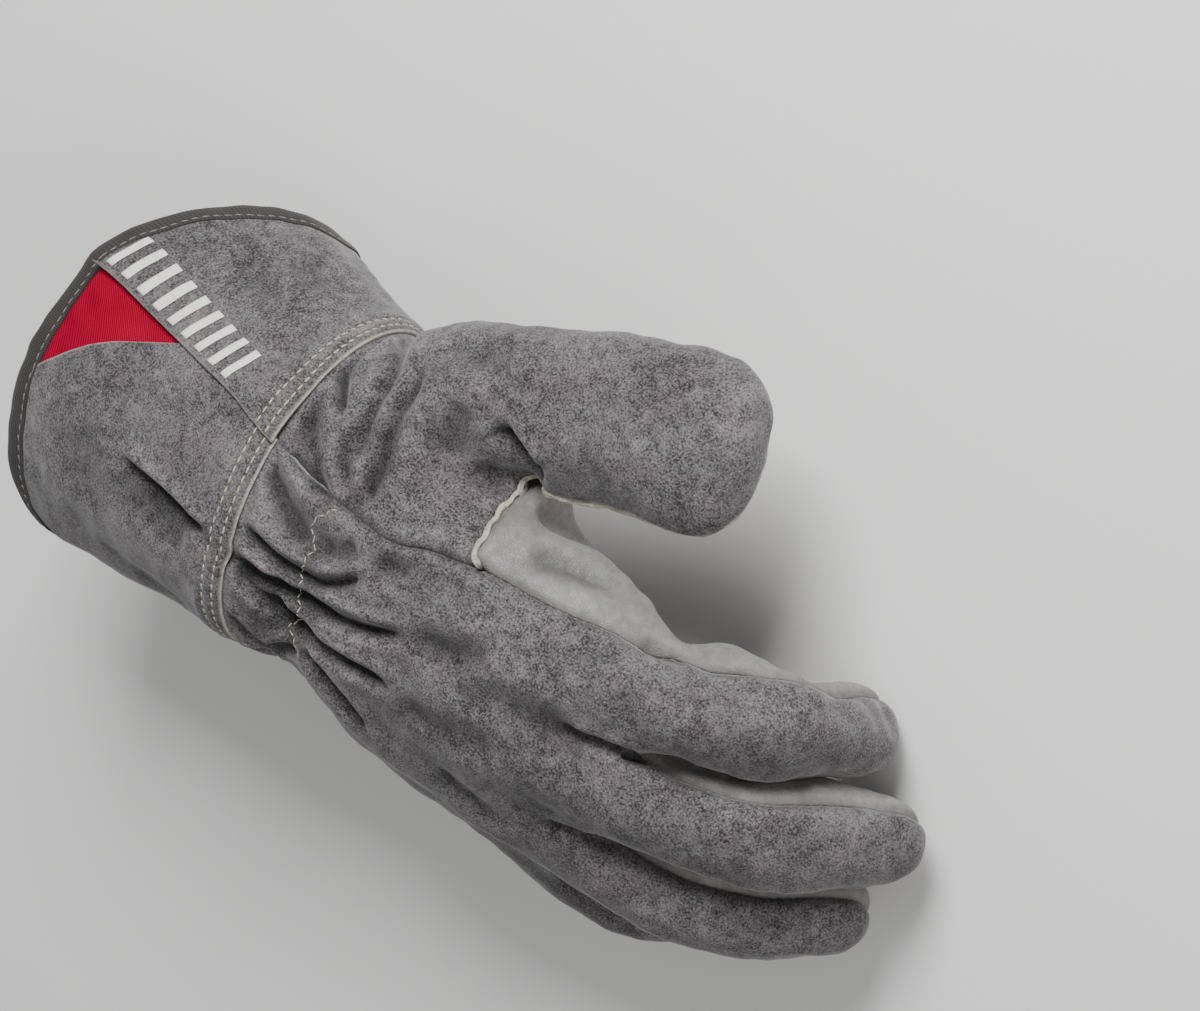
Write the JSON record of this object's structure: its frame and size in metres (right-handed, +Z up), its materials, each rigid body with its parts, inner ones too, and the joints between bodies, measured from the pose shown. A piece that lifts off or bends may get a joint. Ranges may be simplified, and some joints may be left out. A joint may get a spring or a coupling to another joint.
{
  "type": "leather work glove",
  "caption": "Right-hand leather work glove with a safety cuff, filled out as if worn and lying palm down, with a hollow for the hand.",
  "frame": {"origin": "centre of the bottom of the bounding box, on the floor the glove lies on", "axes": "+X runs to the fingertips, +Y to the thumb side, +Z up, out of the back of the hand"},
  "size_m": [0.2888, 0.1908, 0.0977],
  "materials": {
    "suede": "matt grey split leather with a short nap",
    "grain_leather": "satin light grey grain leather",
    "raw_edge": "matt cream raw cut edge",
    "red_textile": "matt red twill",
    "binding_tape": "matt taupe woven tape"
  },
  "bodies": {
    "root": {"back": "suede", "palm": "grain_leather", "finger_fronts": "grain_leather", "thumb_back": "suede", "thumb_welt": "raw_edge", "finger_welt": "raw_edge", "cuff_thumb_side": "suede", "cuff_little_side": "suede", "cuff_gusset": "red_textile", "cuff_binding": "binding_tape", "vein_patch": "grain_leather"}
  },
  "joints": []
}
